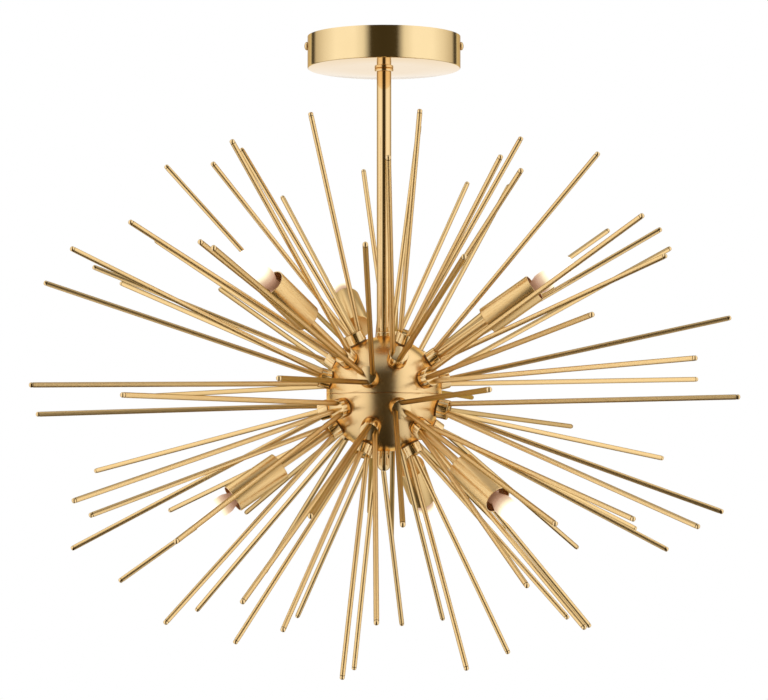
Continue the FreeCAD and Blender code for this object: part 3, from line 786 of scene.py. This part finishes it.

# %% [markdown]
# ## The bosses
#
# Each boss is a short turned piece with a fine undercut where it meets the ball and a
# chamfered rim. The dark line round its foot is painted shade: the undercut takes a dark gold.

# %% One boss, stamped thirty times
CHAMFER = 0.7 * MM
CHAMFER_BEND = 0.3 * CHAMFER
UNDERCUT = 0.45 * MM
UNDERCUT_HEIGHT = 1.5 * MM
UNDERCUT_SLOPE = 0.3 * MM
BOSS_SINK = 0.6 * MM
boss_foot = math.sqrt(BALL_RADIUS**2 - BOSS_RADIUS**2) - BOSS_SINK
undercut_top = boss_foot + UNDERCUT_HEIGHT

bm = turn_piece(
    [
        (0, boss_foot),
        (BOSS_RADIUS - UNDERCUT, boss_foot),
        (BOSS_RADIUS - UNDERCUT, undercut_top),
        (BOSS_RADIUS, undercut_top + UNDERCUT_SLOPE),
        (BOSS_RADIUS, BOSS_FACE - CHAMFER),
        (BOSS_RADIUS - CHAMFER_BEND, BOSS_FACE - CHAMFER_BEND),
        (BOSS_RADIUS - CHAMFER, BOSS_FACE),
        (0, BOSS_FACE),
    ],
    steps=36,
)
# The undercut's faces take material 1, the dark gold of painted shade for the line round the foot.
for face in bm.faces:
    if face.calc_center_median().z < undercut_top:
        face.material_index = 1
one_boss = as_mesh(bm, "one_boss")
for half in SIDES:
    for ring in RINGS:
        bm = bmesh.new()
        for place in boss_places(half, ring):
            stamp(bm, one_boss, place)
        show(bm, f"bosses_{half}_{ring}", [cast_gold, painted_shade_gold], [f"{half}_{ring}_bosses"])

# %% [markdown]
# ## The ball
#
# Two pressed half balls meet at a fine seam. Each half starts as a sphere, is cut in two at
# the seam and flattened at its pole, and gets its wall with solidify. A bevel round the cut
# makes the groove of the seam. The lower half is the upper one turned over.

# %% Two half balls
BALL_WALL = 3 * MM
SEAM_GAP = 0.02 * MM
SEAM_EDGE = 0.5 * MM
RIM_TOLERANCE = 0.01 * MM


def on_outer_rim(spot):
    level = abs(spot.z - SEAM_GAP) < RIM_TOLERANCE
    return level and spot.length > BALL_RADIUS - RIM_TOLERANCE


def half_ball(half):
    bm = bmesh.new()
    bmesh.ops.create_uvsphere(bm, u_segments=96, v_segments=64, radius=BALL_RADIUS)
    whole = bm.verts[:] + bm.edges[:] + bm.faces[:]
    bmesh.ops.bisect_plane(
        bm, geom=whole, plane_co=(0, 0, SEAM_GAP), plane_no=(0, 0, -1), clear_outer=True
    )
    for vert in bm.verts:
        if vert.co.z > POLE_HEIGHT:
            vert.co.z = POLE_HEIGHT
    bmesh.ops.recalc_face_normals(bm, faces=bm.faces)
    bmesh.ops.solidify(bm, geom=bm.faces[:], thickness=BALL_WALL)
    rim = [edge for edge in bm.edges if all(on_outer_rim(vert.co) for vert in edge.verts)]
    bmesh.ops.bevel(
        bm, geom=rim, offset=SEAM_EDGE, offset_type="OFFSET", affect="EDGES", segments=2,
        profile=0.5, material=-1,
    )
    place = Matrix.Translation((0, 0, BALL_CENTRE))
    if half == "lower":
        place = place @ turned(180, "X")
    bmesh.ops.transform(bm, matrix=place, verts=bm.verts)
    return bm


for half in SIDES:
    show(half_ball(half), f"ball_{half}", [ball_gold], [f"ball_{half}_shell"])

# %% [markdown]
# ## Canopy, stem and finial
#
# These are turned on the same axis, so each is one half outline. The canopy is a spun cup with
# a small rounded lower edge, brushed round its wall and polished underneath. Two small domed
# screws hold it to its bracket, one at each side. The rings have rounded edges that catch the
# light. The finial is a domed cap nut with a fine groove.

# %% The canopy
CANOPY_WALL = 1.2 * MM
CANOPY_EDGE = 1.0 * MM
CANOPY_MIDDLE = 30 * MM  # a ring of points halfway in, so that the underside's faces stay short

canopy_inside = CANOPY_RADIUS - CANOPY_WALL
corner = rounded(CANOPY_RADIUS - CANOPY_EDGE, CANOPY_LOW + CANOPY_EDGE, CANOPY_EDGE, -90)
canopy = (
    [(canopy_inside, 0), (CANOPY_RADIUS, 0)]
    + corner[::-1]
    + [(CANOPY_MIDDLE, CANOPY_LOW), (STEM_BORE, CANOPY_LOW)]
    + [(STEM_BORE, CANOPY_LOW + CANOPY_WALL), (canopy_inside, CANOPY_LOW + CANOPY_WALL)]
)
bm = turn_piece(canopy, steps=128, closed=True)
for face in bm.faces:
    if face.calc_center_median().z < CANOPY_LOW + SKIN:
        face.material_index = 1
show(bm, "canopy_spun", [spun_gold, polished_gold], ["canopy"])

# %% The canopy's two side screws
SCREW_DROP = 7.2 * MM
SCREW_LENGTH = 6 * MM
SCREW_RADIUS = 2 * MM
SCREW_TIP = 0.4 * MM
HEAD_RADIUS = 3.3 * MM
HEAD_EDGE = 0.2 * MM
HEAD_RIM = 0.6 * MM
HEAD_RISE = 1.8 * MM

screw = [
    (0, -SCREW_LENGTH),
    (SCREW_RADIUS - SCREW_TIP, -SCREW_LENGTH),
    (SCREW_RADIUS, SCREW_TIP - SCREW_LENGTH),
    (SCREW_RADIUS, 0),
    (HEAD_RADIUS - HEAD_EDGE, 0),
    (HEAD_RADIUS, HEAD_EDGE),
]
screw += dome(HEAD_RADIUS, HEAD_RIM, HEAD_RISE) + [(0, HEAD_RIM + HEAD_RISE)]
one_screw = as_mesh(turn_piece(screw, steps=28), "one_screw")
bm = bmesh.new()
for side in SIDES.values():
    place = Matrix.Translation((side * CANOPY_RADIUS, 0, -SCREW_DROP)) @ turned(90 * side, "Y")
    stamp(bm, one_screw, place)
show(bm, "side_screws", [cast_gold], ["canopy_side_screws"])

# %% The rings and the stem
COLLAR_RADIUS = 7.5 * MM
COLLAR_EDGE = 0.6 * MM
FOOT_RADIUS = 6.1 * MM
FOOT_EDGE = 0.9 * MM
STEM_EDGE = 0.3 * MM


def edged_ring(outer, low, high, edge):
    """The closed outline of a ring round the stem's bore, with two rounded outer edges."""
    return (
        [(STEM_BORE, high), (STEM_BORE, low)]
        + rounded(outer - edge, low + edge, edge, -90)
        + rounded(outer - edge, high - edge, edge, 0)
    )


for name, node, metal, outline in (
    ("collar_ring", "stem_collar", polished_gold,
     edged_ring(COLLAR_RADIUS, STEM_TOP, CANOPY_LOW, COLLAR_EDGE)),
    ("foot_ring", "stem_foot_ring", polished_gold,
     edged_ring(FOOT_RADIUS, STEM_FOOT - FOOT_HEIGHT, STEM_FOOT, FOOT_EDGE)),
    ("stem", "stem_tube", stem_gold,
     edged_ring(STEM_RADIUS, STEM_FOOT, STEM_TOP, STEM_EDGE)),
):
    show(turn_piece(outline, steps=64, closed=True), name, [metal], [node])

# %% The finial
FINIAL_RADIUS = 5.3 * MM
FINIAL_HEIGHT = 15.5 * MM
FINIAL_GROOVE = 0.5 * MM
GROOVE_DROPS = (2.2 * MM, 1.9 * MM, 1.5 * MM, 1.2 * MM)  # its four corners, below the ball

finial_top = BALL_CENTRE - POLE_HEIGHT
finial_low = finial_top - FINIAL_HEIGHT
ball_end = dome(FINIAL_RADIUS, finial_low + FINIAL_RADIUS, -FINIAL_RADIUS)
groove_radii = (FINIAL_RADIUS, FINIAL_RADIUS - FINIAL_GROOVE)
groove_radii += groove_radii[::-1]
finial = (
    [(0, finial_low)]
    + ball_end[::-1]
    + [(radius, finial_top - drop) for radius, drop in zip(groove_radii, GROOVE_DROPS)]
    + [(FINIAL_RADIUS, finial_top), (0, finial_top)]
)
show(turn_piece(finial, steps=48), "finial_cap", [polished_gold], ["finial"])

# %% [markdown]
# ## The lamps
#
# Six lamps look alike: a thin arm, an open cup, a ceramic holder inside it and a capsule bulb.
# The cup is a drawn tube with a polished, rounded mouth, satin outside and duller inside. The
# bulb is frosted glass with a domed end and a neck that narrows into its flat pinched foot.

# %% Arm
ARM_THREAD = 0.6 * MM  # how much thinner the arm is where it is screwed into boss and ball
ARM_GRIP = 2 * MM


def arm_piece():
    back = BALL_RADIUS - ARM_GRIP
    points = [
        (0, back),
        (ARM_RADIUS - ARM_THREAD, back),
        (ARM_RADIUS - ARM_THREAD, BOSS_FACE),
        (ARM_RADIUS, BOSS_FACE),
        (ARM_RADIUS, CUP_BACK),
        (0, CUP_BACK),
    ]
    return turn_piece(points, steps=24)


# %% Cup
CUP_WALL = 0.8 * MM
CUP_FLOOR = 1.2 * MM
CUP_HOLE = 2.5 * MM
CUP_EDGE = 0.6 * MM
MOUTH_EDGE = 0.35 * MM
MOUTH_SLOPE = 0.1 * MM
INSIDE_TOLERANCE = 0.05 * MM


def cup_piece():
    """A cup with its inside as material 1 and the rim of its mouth as material 2."""
    inside = CUP_RADIUS - CUP_WALL
    points = (
        [(CUP_HOLE, CUP_BACK)]
        + rounded(CUP_RADIUS - CUP_EDGE, CUP_BACK + CUP_EDGE, CUP_EDGE, -90)
        + [(CUP_RADIUS, CUP_BACK + CUP_LENGTH / 2)]
        + rounded(CUP_RADIUS - MOUTH_EDGE, CUP_MOUTH - MOUTH_EDGE, MOUTH_EDGE, 0)
        + [(inside, CUP_MOUTH - MOUTH_SLOPE), (inside, CUP_BACK + CUP_FLOOR)]
        + [(CUP_HOLE, CUP_BACK + CUP_FLOOR)]
    )
    bm = turn_piece(points, steps=56, closed=True)
    for face in bm.faces:
        spot = face.calc_center_median()
        if spot.z > CUP_MOUTH - MOUTH_EDGE / 2:
            face.material_index = 2
        elif spot.xy.length < inside + INSIDE_TOLERANCE and spot.z > CUP_BACK + SKIN:
            face.material_index = 1
    return bm


# %% Bulb
HOLDER_LENGTH = 25 * MM
CAP_DEPTH = 9 * MM  # how far the bulb's foot goes into the holder
CAP_GAP = 0.3 * MM
CAP_WIDTH = 12.4 * MM
CAP_THICKNESS = 4.4 * MM
CAP_ROUNDING = 1.4 * MM
CAP_INTO_GLASS = 1 * MM
PIN_RADIUS = 0.8 * MM
PIN_LENGTH = 4.2 * MM
PIN_SPACING = 9 * MM
BULB_RADIUS = 7.75 * MM
BULB_SINK = 4 * MM
BULB_REACH = 36 * MM
NECK_RADIUS = 4.5 * MM
NECK_LENGTH = 11 * MM
NECK_STEPS = 6
TIP_HEIGHT = 5.5 * MM
CAP_BACK = CUP_BACK + CUP_FLOOR + HOLDER_LENGTH - CAP_DEPTH + CAP_GAP
GLASS_LOW = CUP_MOUTH - BULB_SINK
GLASS_HIGH = CUP_MOUTH + BULB_REACH


def glass_outline():
    """A flat bottom, a neck that widens in a soft S, and a domed end."""
    neck = []
    for step in range(NECK_STEPS + 1):
        widening = (1 - math.cos(math.pi * step / NECK_STEPS)) / 2
        radius = NECK_RADIUS + (BULB_RADIUS - NECK_RADIUS) * widening
        neck.append((radius, GLASS_LOW + NECK_LENGTH * step / NECK_STEPS))
    tip = dome(BULB_RADIUS, GLASS_HIGH - TIP_HEIGHT, TIP_HEIGHT)
    return [(0, GLASS_LOW)] + neck + tip + [(0, GLASS_HIGH)]


def add_foot(bm):
    """The flat pinched foot under the glass, with its two pins."""
    top = GLASS_LOW + CAP_INTO_GLASS
    block = bmesh.ops.create_cube(bm, size=1.0)["verts"]
    bmesh.ops.scale(bm, verts=block, vec=(CAP_WIDTH, CAP_THICKNESS, top - CAP_BACK))
    bmesh.ops.translate(bm, verts=block, vec=(0, 0, (top + CAP_BACK) / 2))
    sides = list({edge for vert in block for edge in vert.link_edges})
    bmesh.ops.bevel(
        bm, geom=sides, offset=CAP_ROUNDING, offset_type="OFFSET", affect="EDGES", segments=3,
        profile=0.5, material=-1,
    )
    for side in SIDES.values():
        middle = (side * PIN_SPACING / 2, 0, CAP_BACK - PIN_LENGTH / 2)
        bmesh.ops.create_cone(
            bm, cap_ends=True, segments=12, radius1=PIN_RADIUS, radius2=PIN_RADIUS,
            depth=PIN_LENGTH, matrix=Matrix.Translation(middle),
        )


def bulb_piece():
    """A bulb mapped from 0 at the back of its foot to 1 at its end; its pins are material 1."""
    bm = turn_piece(glass_outline(), steps=40)
    add_foot(bm)
    layer = bm.loops.layers.uv.verify()
    for face in bm.faces:
        for loop in face.loops:
            spot = loop.vert.co
            along = (spot.z - CAP_BACK) / (GLASS_HIGH - CAP_BACK)
            loop[layer].uv = (math.atan2(spot.y, spot.x) / math.tau, along)
        if face.calc_center_median().z < CAP_BACK - SKIN:
            face.material_index = 1
    return bm


# %% Put the lamps together
LAMP_PIECES = {
    "arm": (as_mesh(arm_piece(), "one_arm"), [drawn_gold]),
    "cup": (as_mesh(cup_piece(), "one_cup"), [satin_gold, inner_gold, polished_gold]),
    "bulb": (as_mesh(bulb_piece(), "one_bulb"), [LIT_GLASS, zinc_steel]),
}
for half, lamps in LAMPS.items():
    places = boss_places(half, "shoulder")
    for index, lamp in lamps.items():
        for kind, (mesh, materials) in LAMP_PIECES.items():
            bm = bmesh.new()
            stamp(bm, mesh, places[index])
            if kind == "bulb":
                body, slot = f"{lamp}_lamp", "lamp_glass"
            else:
                body, slot = "fixture", "brushed_gold"
            show(bm, f"{kind}_{lamp}", materials, [f"{lamp}_{kind}"], body)

# %% [markdown]
# ## The parts that keep their own shape
#
# The fittings inside the canopy, the ball and the cups are right as they come, so each only
# gets its finish on its material slots.

# %% Finish the remaining parts


def finish_node(name, material):
    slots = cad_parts[name].data.materials
    for index in range(len(slots)):
        slots[index] = material


STEEL_PARTS = (
    "ceiling_bracket", "terminal_block_screw", "earth_screw", "canopy_washer",
    "canopy_lock_nut", "stem_nipple", "ball_washer", "ball_lock_nut", "ball_tie_tube",
    "arm_nuts", "cup_nuts",
)
for name in STEEL_PARTS:
    finish_node(name, zinc_steel)
finish_node("terminal_block", white_plastic)
for lamps in LAMPS.values():
    for lamp in lamps.values():
        finish_node(f"{lamp}_lampholder", ceramic)
print("finished", len(STEEL_PARTS), "steel parts, the terminal block and the lampholders")
